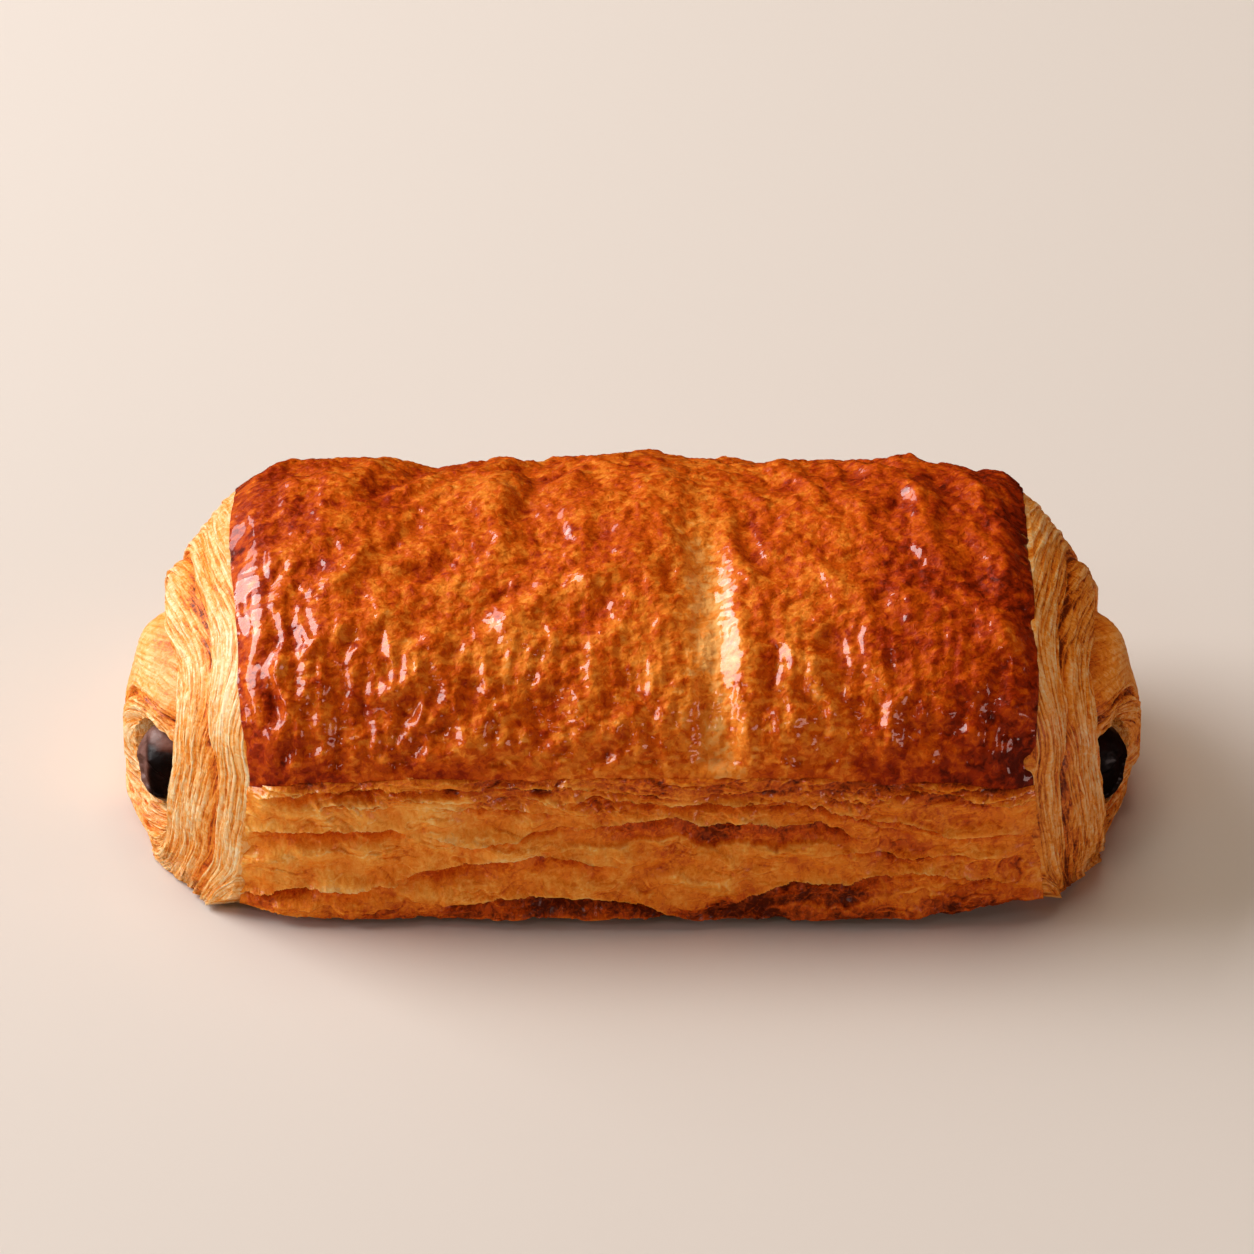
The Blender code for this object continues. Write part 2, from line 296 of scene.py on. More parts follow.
def dome(y, z):
    """How near the rounded end comes to its farthest point: 1 there, 0 at the outline above the base."""
    across = (y - DOME_Y) / np.where(y > DOME_Y, DOME_BACK_REACH, DOME_FRONT_REACH)
    up = np.maximum(0.0, z - DOME_Z) / DOME_UP_REACH
    reach = np.minimum(1.0, (np.abs(across) ** 2.2 + up**2.2) ** (1 / 2.2))
    upward = ease(np.arctan2(up, np.abs(across) + 1e-6) / (0.42 * math.pi))
    return mix((1 - reach**1.5) ** 0.75, 1 - reach**1.1, upward)


def over_lip(z):
    """1 on the glazed sheet and 0 on the sides below it."""
    return ease((z - LIP_HEIGHT + 6.0) / 8.0)


def cut_edge(side, y, z):
    """How far from the middle the glazed sheet is cut off."""
    lip, crown = EDGE_LEFT if side < 0 else EDGE_RIGHT
    lip = lip + EDGE_FLARE * np.clip(1 - z / LIP_HEIGHT, 0, 1)
    crown = crown + (EDGE_LEAN * ease((y + 26) / 30) if side < 0 else 0.0)
    return mix(lip, crown, np.where(y < 0, over_crown(z), 1.0))


def crown_arch(x, turn):
    """(y, z) on the even arch of the glazed top, at an angle from its front lip to its back lip."""
    c, s = np.cos(turn), np.sin(turn)
    y = -(HALF_DEPTH + bow(x)) * np.sign(c) * np.abs(c) ** (2 / CROWN_EXPONENT)
    z = LIP_HEIGHT + (HEIGHT - LIP_HEIGHT) * np.abs(s) ** (2 / CROWN_EXPONENT)
    return y, z


def rounded_corner(side_gap, z):
    """How far the skin drops in near a cut edge, at a distance from that edge."""
    crown = np.where(z > LIP_HEIGHT, over_crown(z), 0.0)
    near = np.clip(1 - side_gap / mix(*CORNER_LENGTH, crown), 0, 1)
    into_band = np.clip(EDGE_BAND - side_gap, 0, None)
    bevel = np.where(into_band < 1.6, into_band**2 / 3.2, into_band - 0.8) * mix(0.35, 1.0, over_lip(z))
    return (mix(*CORNER_DROP, crown) * near**2 + EDGE_SLOPE * bevel) * ease(z / 6)


# %% [markdown]
# ## From a grid to a closed skin
#
# Each skin starts as one flat grid from bmesh, rolled into a closed tube: the rows go over the shown
# surface and one last strip comes back inside the loaf. The open ends are then filled. A thin slab can come
# out of this inside out, which its signed volume tells. Points that carry a tone, such as how dark the
# crust baked there and the light and shade painted on some skins, keep it as an attribute that the materials
# read.


# %% Roll a grid
SHARP_ANGLE = 60


def rolled_skin(name, points, tones, ends="fill"):
    """A closed mesh from points [row, column, xyz] in mm whose last row joins the first.

    ends says what closes the first and last column: "fill" caps them, "join" joins them to each other.
    """
    if ends == "join":
        points = np.concatenate([points, points[:, :1]], axis=1)
        tones = {key: np.concatenate([value, value[:, :1]], axis=1) for key, value in tones.items()}
    points = np.concatenate([points, points[:1]])
    tones = {key: np.concatenate([value, value[:1]]) for key, value in tones.items()}
    rows, columns = points.shape[:2]
    bm = bmesh.new()
    bmesh.ops.create_grid(bm, x_segments=columns - 1, y_segments=rows - 1, size=1)
    mesh = bpy.data.meshes.new(name)
    bm.to_mesh(mesh)
    flat = np.empty(len(mesh.vertices) * 3, np.float32)
    mesh.vertices.foreach_get("co", flat)
    flat = flat.reshape(-1, 3)
    column = np.rint((flat[:, 0] + 1) / 2 * (columns - 1)).astype(int)
    row = np.rint((flat[:, 1] + 1) / 2 * (rows - 1)).astype(int)
    mesh.vertices.foreach_set("co", (points[row, column] * MM).astype(np.float32).ravel())
    for key, value in tones.items():
        kind, part = ("FLOAT", "value") if value.ndim == 2 else ("FLOAT_VECTOR", "vector")
        attribute = mesh.attributes.new(key, kind, "POINT")
        attribute.data.foreach_set(part, value[row, column].astype(np.float32).ravel())
    bm.clear()
    bm.from_mesh(mesh)
    bmesh.ops.remove_doubles(bm, verts=bm.verts, dist=1e-8)
    bmesh.ops.dissolve_degenerate(bm, edges=bm.edges, dist=1e-8)
    if ends == "fill":
        caps = bmesh.ops.holes_fill(bm, edges=[e for e in bm.edges if e.is_boundary], sides=0)["faces"]
        bmesh.ops.triangulate(bm, faces=caps)
    bmesh.ops.recalc_face_normals(bm, faces=bm.faces)
    if bm.calc_volume(signed=True) < 0:
        bmesh.ops.reverse_faces(bm, faces=bm.faces)
    bm.to_mesh(mesh)
    bm.free()
    return mesh


def padded(rows, before, after):
    """The tones of a skin, with its first and last row repeated for the strips that turn into the loaf."""
    return np.concatenate([rows[:1]] * before + [rows] + [rows[-1:]] * after)


def dress(name, mesh, material, replaced):
    """Puts a finished mesh in the scene as a piece that rides on the loaf."""
    piece = put(name, mesh)
    mesh.materials.append(material)
    mesh.shade_smooth()
    mesh.set_sharp_from_angle(angle=math.radians(SHARP_ANGLE))
    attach(piece, "root")
    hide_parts(replaced)
    triangles = sum(len(p.vertices) - 2 for p in mesh.polygons)
    print(name, triangles, "triangles", [round(v / MM, 1) for v in piece.dimensions])
    return piece


# %% [markdown]
# ## Three finishes of baked dough
#
# The crust is egg-washed: a dark amber skin under a clear, glossy coat. The parted sheets of the sides are
# paler, with glaze only where it ran down over them, and the cut ends are palest and driest. What more than
# one finish needs is a node group, written as a table of nodes and a list of links. A link says
# "node.output > node.input", with a number where a socket's name isn't its own.


# %% Build node graphs from tables
def node(tree, kind, values=None, **settings):
    """A new node, with its settings and the values of its sockets."""
    made = tree.nodes.new(kind)
    for key, value in settings.items():
        setattr(made, key, value)
    for socket, value in (values or {}).items():
        made.inputs[socket].default_value = value
    return made


def wire(tree, nodes, links):
    """Adds links that are written as "node.output > node.input"."""
    for link in links:
        ends = [end.split(".") for end in link.split(" > ")]
        (start, output), (stop, into) = ((name, int(s) if s.isdigit() else s) for name, s in ends)
        tree.links.new(nodes[start].outputs[output], nodes[stop].inputs[into])


def maths(operation, values=None, kind="ShaderNodeMath"):
    return kind, values, {"operation": operation}


def noise(values):
    return "ShaderNodeTexNoise", values, {"noise_dimensions": "3D"}


def soft_range(values):
    return "ShaderNodeMapRange", values, {"interpolation_type": "SMOOTHSTEP"}


def shared_group(name, inputs, outputs, nodes, links):
    """A shader group: inputs are (name, start value), and nodes are (kind, values, settings) by name."""
    group = bpy.data.node_groups.new(name, "ShaderNodeTree")
    for label, start in inputs:
        kind = "NodeSocketVector" if isinstance(start, tuple) else "NodeSocketFloat"
        group.interface.new_socket(name=label, in_out="INPUT", socket_type=kind).default_value = start
    for label in outputs:
        group.interface.new_socket(name=label, in_out="OUTPUT", socket_type="NodeSocketFloat")
    made = {"inside": node(group, "NodeGroupInput"), "outside": node(group, "NodeGroupOutput")}
    for label, (kind, values, settings) in nodes.items():
        made[label] = node(group, kind, values, **settings)
    wire(group, made, links)
    return group


# %% [markdown]
# ## Speckle, crinkles and strand lines
#
# Speckle is uneven browning, a value round 0: soft grain with crisp light and dark specks in it. Crinkle is
# the height of a finely wrinkled skin, cell-like bumps over a soft noise. The strand lines are the
# hair-fine layers of a cut end. They run along coordinates that the mesh gives, so they bend with the dough.

# %% Build the three groups
SPECKLE = shared_group(
    "speckle",
    (("Scale", 900.0), ("Amount", 0.3), ("Flecks", 0.1)),
    ("Value",),
    {
        "place": ("ShaderNodeTexCoord", None, {}),
        "grain": noise({"Detail": 2, "Roughness": 0.5, "Distortion": 0.4}),
        "finer": maths("MULTIPLY", {1: 1.37}),
        "fleck": noise({"Detail": 2, "Roughness": 0.5, "Distortion": 1.0}),
        "centred": maths("SUBTRACT", {1: 0.5}),
        "scaled": maths("MULTIPLY"),
        "light": soft_range({"From Min": 0.565, "From Max": 0.605}),
        "dark": soft_range({"From Min": 0.44, "From Max": 0.39}),
        "between": maths("SUBTRACT"),
        "total": maths("MULTIPLY_ADD"),
    },
    (
        "place.Object > grain.Vector", "inside.Scale > grain.Scale", "grain.Fac > centred.0",
        "centred.0 > scaled.0", "inside.Amount > scaled.1",
        "place.Object > fleck.Vector", "inside.Scale > finer.0", "finer.0 > fleck.Scale",
        "fleck.Fac > light.Value", "fleck.Fac > dark.Value",
        "light.Result > between.0", "dark.Result > between.1",
        "between.0 > total.0", "inside.Flecks > total.1", "scaled.0 > total.2", "total.0 > outside.Value",
    ),
)
CRINKLE = shared_group(
    "crinkle",
    (("Scale", 700.0), ("Stretch", (1, 1, 1))),
    ("Height",),
    {
        "place": ("ShaderNodeTexCoord", None, {}),
        "stretch": maths("MULTIPLY", kind="ShaderNodeVectorMath"),
        "fine": noise({"Detail": 2, "Distortion": 0.9}),
        "bumps": ("ShaderNodeTexVoronoi", None, {"feature": "F1"}),
        "total": maths("MULTIPLY_ADD", {1: 0.6}),
    },
    (
        "place.Object > stretch.0", "inside.Stretch > stretch.1",
        "stretch.0 > fine.Vector", "inside.Scale > fine.Scale",
        "stretch.0 > bumps.Vector", "inside.Scale > bumps.Scale",
        "bumps.Distance > total.0", "fine.Fac > total.2", "total.0 > outside.Height",
    ),
)
STRAND_LINES = shared_group(
    "strand_lines",
    (("Amount", 0.3),),
    ("Value", "Height"),
    {
        "strand": ("ShaderNodeAttribute", None, {"attribute_name": "strand"}),
        "loose": ("ShaderNodeAttribute", None, {"attribute_name": "loose"}),
        "drawn": maths("MULTIPLY", {1: (105, 3.0, 3.0)}, "ShaderNodeVectorMath"),
        "hairs": noise({"Scale": 1.0, "Detail": 3, "Roughness": 0.65, "Distortion": 0.15}),
        "spread": soft_range({"From Min": 0.34, "From Max": 0.57, "To Min": 0.62, "To Max": -0.38}),
        "held": maths("MULTIPLY"),
        "value": maths("MULTIPLY"),
        "height": maths("MULTIPLY", {1: -1.6}),
    },
    (
        "strand.Vector > drawn.0", "drawn.0 > hairs.Vector", "hairs.Fac > spread.Value",
        "spread.Result > held.0", "loose.Fac > held.1",
        "held.0 > value.0", "inside.Amount > value.1", "value.0 > outside.Value",
        "held.0 > height.0", "height.0 > outside.Height",
    ),
)
print("shared groups:", [group.name for group in bpy.data.node_groups])

# %% [markdown]
# ## From tone to colour
#
# Dough browns from cream through amber to a dark red-brown. Each finish has its own ramp of colours for
# that run, and the same graph: the mesh's tone plus the speckle goes into the ramp, and the
# crinkles go into a bump. Light enters the drier layers a little, which warms their thin edges.


# %% Crust, sheets and layer edges
def linear(red, green, blue):
    """A colour as it is picked on screen, from 0 to 255, as the shader wants it."""
    shares = (red / 255, green / 255, blue / 255)
    return tuple(v / 12.92 if v <= 0.04045 else ((v + 0.055) / 1.055) ** 2.4 for v in shares) + (1.0,)


def new_material(name):
    """An empty material and its main shader."""
    material = bpy.data.materials.new(name)
    material.use_nodes = True
    return material, material.node_tree.nodes["Principled BSDF"]


def toned_material(name, colours, speckle, crinkle, shine, lines=0.0, tones=(0.0, 0.25, 0.5, 0.75, 1.0)):
    """A material whose colour follows the mesh's tone attribute, how dark the dough baked with painted light
    and shade on some pieces, plus speckle and a crinkled bump.

    speckle is (scale, amount, flecks); crinkle is (scale, stretch, height in mm); shine is (roughness,
    specular level, coat weight, coat roughness); lines is how strongly fine strands show; tones says where
    on the ramp each colour sits.
    """
    material, shader = new_material(name)
    tree = material.node_tree
    for socket, value in zip(("Roughness", "Specular IOR Level", "Coat Weight", "Coat Roughness"), shine):
        shader.inputs[socket].default_value = value
    grain_values = dict(zip(("Scale", "Amount", "Flecks"), speckle))
    scale, stretch, bump_height = crinkle
    nodes = {
        "shader": shader,
        "tone": node(tree, "ShaderNodeAttribute", attribute_name="bake_and_shading"),
        "grain": node(tree, "ShaderNodeGroup", grain_values, node_tree=SPECKLE),
        "folds": node(tree, "ShaderNodeGroup", {"Scale": scale, "Stretch": stretch}, node_tree=CRINKLE),
        "total": node(tree, "ShaderNodeMath", operation="ADD"),
        "ramp": node(tree, "ShaderNodeValToRGB"),
        "bump": node(tree, "ShaderNodeBump", {"Strength": 1.0, "Distance": bump_height * MM}),
    }
    ramp = nodes["ramp"].color_ramp
    for tone in tones[1:-1]:
        ramp.elements.new(tone)
    for element, colour in zip(ramp.elements, colours):
        element.color = linear(*colour)
    value, height = "grain.Value", "folds.Height"
    if lines:
        nodes["strands"] = node(tree, "ShaderNodeGroup", {"Amount": lines}, node_tree=STRAND_LINES)
        nodes["values"], nodes["heights"] = (node(tree, "ShaderNodeMath", operation="ADD") for _ in range(2))
        wire(tree, nodes, (value + " > values.0", "strands.Value > values.1"))
        wire(tree, nodes, (height + " > heights.0", "strands.Height > heights.1"))
        value, height = "values.0", "heights.0"
    wire(tree, nodes, (
        "tone.Fac > total.0", value + " > total.1", "total.0 > ramp.Fac", "ramp.Color > shader.Base Color",
        height + " > bump.Height", "bump.Normal > shader.Normal",
    ))
    return material, shader


CRUST_COLOURS = ((250, 180, 98), (246, 141, 42), (212, 88, 5), (164, 46, 2), (92, 20, 2))
DOUGH_COLOURS = ((255, 230, 186), (254, 196, 126), (248, 154, 46), (220, 106, 14), (112, 40, 4))
SHEET_COLOURS = ((255, 210, 136), (255, 174, 72), (244, 136, 28), (208, 84, 8), (96, 30, 2))
crust_finish, crust_shader = toned_material(
    "glazed_crust", CRUST_COLOURS,
    speckle=(800, 0.17, 0.10), crinkle=(1200, (1, 1, 1), 0.21), shine=(0.5, 0.08, 0.75, 0.06),
)
crust_shader.inputs["Coat IOR"].default_value = 1.55
edge_finish, edge_shader = toned_material(
    "layer_edges", DOUGH_COLOURS,
    speckle=(1100, 0.3, 0.12), crinkle=(1700, (1, 1, 1), 0.08), shine=(0.5, 0.25, 0.15, 0.2), lines=0.36,
)
sheet_finish, sheet_shader = toned_material(
    "parted_sheets", SHEET_COLOURS,
    speckle=(1100, 0.22, 0.09), crinkle=(1300, (1.6, 1, 0.7), 0.12), shine=(0.5, 0.2, 0.5, 0.11),
)
gloss = node(sheet_finish.node_tree, "ShaderNodeAttribute", attribute_name="gloss")
sheet_finish.node_tree.links.new(gloss.outputs["Fac"], sheet_shader.inputs["Coat Weight"])
for shader in (edge_shader, sheet_shader):
    shader.inputs["Subsurface Weight"].default_value = 0.12
    shader.inputs["Subsurface Radius"].default_value = (1.0, 0.45, 0.18)
    shader.inputs["Subsurface Scale"].default_value = 1.2 * MM
print("finishes:", [material.name for material in (crust_finish, edge_finish, sheet_finish)])

# %% [markdown]
# ## The glazed crust
#
# The outermost sheet covers the top from its front lip to its back lip. Its relief has four scales: the
# crest's rise and fall, slanting ridges where the dough was stretched, one fold that sank and stayed pale,
# and blisters of a millimetre or two. All of it moves the grid's points, so that gleams break up on it.

# %% Shape the crust
CRUST_COLUMNS, CRUST_ROWS = 345, 274
LIP_THICKNESS, TUCK_DEPTH = 0.3, 2.5


def crust_relief(x, y, arc):
    """Relief of the glazed sheet over the even arch, with x and the arc from the front lip in mm.

    Gives the height, how far the pale fold sank there from 0 to 1, the blisters' tone, and the ridges.
    """
    fold = FOLD_X - FOLD_LEAN * y
    front_wall = ease((4 - y) / 14)
    sunk = FOLD_DEPTH * hump(x, fold, FOLD_HALF_WIDTH) * mix(1.0, 0.3, ease((y + 12) / 24))
    swell = 0.7 * wander(x / 13, y / 17, 7) * ease((8 - y) / 16)
    crest = along(CREST, x) * ease((y + 22) / 26)
    bend_x, bend_y = (1.2 * wander(x / 7, arc / 7, seed) for seed in (11, 12))
    past_crest = arc - CROWN_ARC / 2
    fields = []
    for lean, seed in ((-0.75, 20), (0.25, 30)):
        size = math.hypot(1, lean)
        across = (x + lean * past_crest) / size + bend_x
        lengthwise = (past_crest - lean * x) / size + bend_y
        wide = wander(across / 3.9, lengthwise / 9, seed) * ease(0.75 + wander(x / 8, arc / 8, seed + 2))
        narrow = wander(across / 1.7, lengthwise / 3, seed + 1) * ease(0.5 + wander(x / 5, arc / 5, 14))
        fields.append(1.1 * wide + 0.3 * narrow)
    ridges = mix(fields[0], fields[1], ease((x + 6) / 12)) * ease(np.abs(x - fold) / 5)
    large, large_tone = cells(x / 2.3 + 0.3 * bend_x, arc / 2.5 + 0.3 * bend_y, 60)
    small, small_tone = cells(x / 1.05 + 0.5 * bend_y, arc / 1.1 + 0.5 * bend_x, 70)
    downhill = ease((34 - arc) / 16) + 0.8 * np.exp(-(x + BODY_HALF) / 6)
    blisters = 0.32 * large * (0.25 + large_tone) + 0.25 * small * (0.3 + small_tone)
    blisters = blisters * mix(0.85, 0.6, np.clip(downhill, 0, 1))
    creases = 0.46 * wander(x / 1.7 + 0.5 * bend_x, arc / 9, 15)
    creases = creases + 0.16 * wander(x / 0.9 + 0.4 * bend_x, arc / 5, 16)
    ridges = ridges + creases * downhill
    wall = 0.55 * hump(x, fold + 3.3, 1.3) * front_wall
    calm = 1 - 0.85 * hump(x, fold + 2.4, 1.8) * front_wall
    wrinkles = 0.16 * wander(x / 0.8 + 0.4 * bend_y, arc / 1.1 + 0.4 * bend_x, 17) * (1 - calm)
    height = crest + ridges * calm + swell - sunk + wall + wrinkles + blisters * calm - 0.45
    spots = 0.22 * (large_tone - 0.5) * large + 0.5 * (small_tone - 0.5) * small - 0.3 * (blisters - 0.2)
    return height, sunk / FOLD_DEPTH, spots, ridges


def crust_points():
    """The glazed sheet's points [row, column, xyz] and tones."""
    share = np.linspace(0, 1, CRUST_COLUMNS)[None, :]
    turn = np.linspace(0, math.pi, CRUST_ROWS)[:, None]
    y, z = crown_arch(0.0, turn)
    left, right = -cut_edge(-1, y, z), cut_edge(1, y, z)
    ragged = 0.25 * rough(turn * 9, 0 * turn, 31)
    x = mix(left + ragged, right + ragged, share)
    y, z = crown_arch(x, turn + 0 * x)
    arc = turn / math.pi * CROWN_ARC + 0 * x
    height, pale, spots, ridges = crust_relief(x, y, arc)
    rim = ease(np.sin(turn) / 0.12)
    bevel = ease((EDGE_BAND + 1.0 - (x - left)) / 1.6)
    height = height * rim * (1 - 0.6 * bevel)
    drop = rounded_corner(np.minimum(x - left, right - x), z)
    points = np.stack([x, y, z], axis=2)
    out = np.stack([0 * x, y, z - 0.5 * LIP_HEIGHT], axis=2)
    out /= np.linalg.norm(out, axis=2, keepdims=True)
    points += out * (height - drop)[..., None]
    near_lip = ease((0.22 - np.sin(turn)) / 0.22)
    points[..., 2] += (along(LIP_LINE, x) + 0.5 * rough(x / 4.5, 0 * x, 51, 5) * near_lip**3) * near_lip
    points[..., 1] = np.clip(points[..., 1], -DEPTH_LIMIT, DEPTH_LIMIT)
    points[..., 2] = np.minimum(points[..., 2], HEIGHT_LIMIT)
    return points, crust_tones(x, y, z, pale, spots, ridges)


def crust_tones(x, y, z, pale, spots, ridges):
    """How dark each point baked, from 0 pale to 1 burnt, with painted light and shade on top: paler ridge tops,
    a darker right end and a painted sheen along the left cut.
    """
    left, right = -cut_edge(-1, y, z), cut_edge(1, y, z)
    # Ridge tops paler and troughs darker: painted light and shade on the ridges.
    tone = 0.53 + 0.1 * rough(x / 9, y / 8, 41) + 0.75 * spots - 0.14 * ridges
    tone += 0.2 * np.exp(-np.minimum(x - left, right - x) / 4.0)  # dark rims along both cuts
    # The crust is darker toward both ends; the stronger darkening at the right end is painted shade, away from
    # the lamp.
    tone += 0.08 * ease((-x - 26) / 20) + 0.16 * ease((x - 14) / 26)  # darker toward both ends
    tone += 0.14 * hump(z, LIP_HEIGHT, 3.0) * (1 - hump(x, 2, 20))  # dark lips, but not below the fold
    tone -= (0.06 + 0.08 * hump(x, 2, 16)) * ease((-8 - y) / 14)  # a paler front slope
    tone -= 0.36 * pale * (1 - 0.45 * ease((-22 - y) / 8))  # the sunk fold
    # A paler band along the left cut: a painted sheen, partly the thinner glaze there.
    left_sheen_band = ease((EDGE_BAND - 0.6 + 0.5 * rough(x / 0.8, y / 1.6, 43) - x + left) / 0.5)
    return np.clip(tone - 0.12 * left_sheen_band, 0, 1)


shell, tone = crust_points()
lip = shell[[0, -1]].copy()
lip[:, :, 2] -= LIP_THICKNESS
tuck = lip.copy()
tuck[0, :, 1] += TUCK_DEPTH
tuck[1, :, 1] -= TUCK_DEPTH
shell = np.concatenate([tuck[:1], lip[:1], shell, lip[1:], tuck[1:]])
crust = rolled_skin("glazed_crust", shell, {"bake_and_shading": padded(tone, 2, 2)})
dress("glazed_crust", crust, crust_finish, "pastry")

# %% [markdown]
# ## The parted sheets of the sides
#
# Along the sides the layers have risen apart. Each parting is a thin ragged lip, a hollow under it, and
# the next sheet swelling out below. The hollow is painted darker, partly browning and partly painted shade
# under the lip, and the lip is painted pale, a painted highlight. A lip here is a line of heights along the
# roll with a depth and a height for the hollow under it; the shown side's lips are set one by one, and the
# hidden side's are drawn by a seeded rule.

# %% Lips of the two sides
FRONT_LIPS = (  # depth and height of the hollow, how square it is, and the lip's line of (x, z)
    (1.1, 2.0, 0.0, ((-42.4, 16.6), (-38.9, 17.5), (-33.6, 18.1), (-29, 18.6), (-25.3, 18.6), (-21.5, 18.4))),
    (1.2, 2.8, 0.0, ((-44, 11.7), (-38.5, 12.4), (-33, 12.6), (-29.2, 12.8), (-27.3, 12.9), (-25.1, 11.9))),
    (0.9, 2.0, 0.0, ((-45.6, 3.2), (-44, 3.4), (-38.5, 4.5), (-34.4, 4.8), (-33.4, 4.5), (-28.4, 5.3),
        (-25, 5.8))),
    (1.3, 3.0, 0.0, ((-27, 6), (-23.3, 7.4), (-18.2, 8.6), (-14.8, 9.3), (-10.5, 9.9), (-7.9, 9.6), (-3, 8.5),
        (-1, 7.8))),
    (1.9, 3.4, 0.0, ((-22, 2.9), (-18.2, 3.6), (-14.8, 4.2), (-9.9, 4.5), (-2.8, 4.1), (0.2, 3.7), (4.3, 2.2),
        (8, 0.6))),
    (1.4, 0.9, 0.0, ((-46, 1.3), (-41, 1.3), (-35, 0.9))),
    (1.3, 3.6, 0.4, ((-8, 12.8), (-3, 13.5), (2.2, 14.9), (5, 15.1), (9.3, 13.9), (12.8, 14.4), (16.9, 13.8),
        (20.9, 14.3), (26.2, 11.6))),
    (0.9, 1.4, 0.0, ((-9.5, 16.3), (-6.3, 17.2), (-3.4, 17.5), (2.2, 17.0), (10.3, 16.8), (15.8, 16.4),
        (21.2, 15.9))),
    (0.6, 1.3, 0.0, ((14.6, 17.5), (18, 17.1), (21.2, 16.4), (23.7, 15.6), (26, 14.6), (28.7, 13.2),
        (31, 12.5))),
    (1.1, 2.1, 0.0, ((29, 17.6), (33.4, 18), (36.4, 18), (38.7, 17), (41.4, 16.4), (45, 15.8))),
    (1.3, 3.8, 0.25, ((11, 2.8), (13.9, 4.2), (16.9, 5.9), (18.7, 6.4), (24.6, 5.9), (27.8, 7.0), (32.5, 7.2))),
    (0.8, 1.6, 0.0, ((30, 7.5), (35, 7.4), (37.4, 6.6), (39.7, 5.9), (44, 5.2))),
    (0.5, 1.2, 0.0, ((-24, 12.4), (-18.3, 11.0), (-13.4, 11.8), (-10.7, 12.8), (-6, 13.4))),
    (0.5, 1.2, 0.0, ((-23, 16.6), (-17, 15.9), (-12, 15.4), (-8, 15.0))),
    (0.4, 1.0, 0.0, ((24, 15.2), (29.3, 14.0), (34, 12.8), (37.6, 11.7), (45, 11.9))),
    (0.4, 0.9, 0.0, ((21, 9.6), (27, 10.1), (31, 9.1), (36, 9.5), (45, 8.6))),
    (0.5, 0.8, 0.0, ((-46, 0.9), (-20, 0.7), (0, 1.0), (20, 0.7), (46, 1.6))),
)
NICKS = (  # small pits: x, z, half length, half height, depth
    (-20.4, 18.2, 1.3, 0.55, 0.9),
    (-10.3, 18.1, 1.2, 0.6, 0.9),
    (17.5, 4.3, 0.8, 0.5, 0.6),
)


def drawn_lips(seed, count):
    """Lips for a side that the photograph doesn't show: seeded lines of uneven length, depth and height."""
    draw = np.random.default_rng(seed)
    lips = []
    for k in range(count):
        height = mix(1.2, 18.2, (k + 0.5) / count) + draw.uniform(-0.8, 0.8)
        half = draw.uniform(8, 24)
        centre = draw.uniform(-BODY_HALF + 0.7 * half, BODY_HALF - 0.7 * half)
        start, stop = max(-45.0, centre - half), min(45.0, centre + half)
        steps = np.linspace(start, stop, 5)
        line = tuple((float(s), float(np.clip(height + draw.uniform(-1.1, 1.1), 0.8, 18.6))) for s in steps)
        deep = float(draw.choice([0.5, 0.7, 1.6, 2.0]))
        lips.append((deep, 1.0 + 1.2 * deep, 0.3 * float(deep > 1.8), line))
    return tuple(lips)


BACK_LIPS = drawn_lips(5, 13)
print("lips in front and behind:", len(FRONT_LIPS), len(BACK_LIPS))

# %% [markdown]
# ## Puffs, torn sheets and open lips
#
# Between the large partings the sides are never smooth. Soft puffs come first, painted paler where they
# stand out and darker where they sink, painted light and shade. Then thin sheets lie over each other: some
# stack evenly, others end in torn lines that a noise draws, with a pale edge above, a painted highlight,
# and a brown line below, a painted shadow. Just under the glaze they are crumpled. Last, each lip and each
# small pit is cut in and painted darker inside, painted shade.

# %% Shape the two sides
SIDE_COLUMNS, SIDE_ROWS, SIDE_THICKNESS = 460, 205, 1.5
STACKED = ((1.7, 0.42, 200), (0.75, 0.14, 210))  # pitch, depth, seed
TORN = ((7.0, 1.9, 0.3, 220), (3.4, 1.2, 0.22, 230), (1.7, 0.8, 0.12, 250))  # length, height, rise, seed


def open_lip(x, z, lip, seed):
    """One parting: its relief, how brown its hollow is painted, partly browning and partly painted shade, and
    where its pale edges run, painted highlights.
    """
    depth, height, square, line = lip
    start, stop = line[0][0], line[-1][0]
    u = np.clip((2 * x - start - stop) / (stop - start), -1, 1)
    taper = (1 - u * u) ** 0.5
    ragged = 0.3 * rough(x / 3.1, 0 * x, seed + 10, 3) + 0.14 * wander(x / 0.6, 0 * x, seed + 40)
    below = along(line, x) + ragged - z
    inside = ease(below / 0.14)
    down = below / (height * (0.35 + 0.65 * taper)) + 0.1 * rough(x / 2.2, 0 * x, seed + 120, 3)
    hollow = (np.clip(1 - down, 0, 1) ** 1.1 * (1 - square) + square * ease((1.0 - down) / 0.12)) * inside
    ridge, slope = (np.exp(np.minimum(below, 0) / reach) * (1 - inside) for reach in (0.3, 1.8))
    relief = (0.2 + 0.15 * min(depth, 1.5)) * ridge + 0.4 * min(depth, 1.8) * slope - 1.3 * depth * hollow
    # The hollow is painted darker brown: partly browning, partly painted shade under the lip.
    brown = hollow**0.8 * (0.3 + 0.42 * min(depth, 1.9))
    # The lip's pale edge is a painted highlight.
    edge = ridge
    if square:
        # A square hollow also gets a pale lower edge, a painted highlight on the sheet below.
        lower_edge = np.exp(-(np.maximum(down, 1.0) - 1.0) / 0.1) * ease((down - 0.88) / 0.12)
        edge = np.maximum(ridge, 0.8 * lower_edge)
    return relief * taper, brown * taper, edge * taper


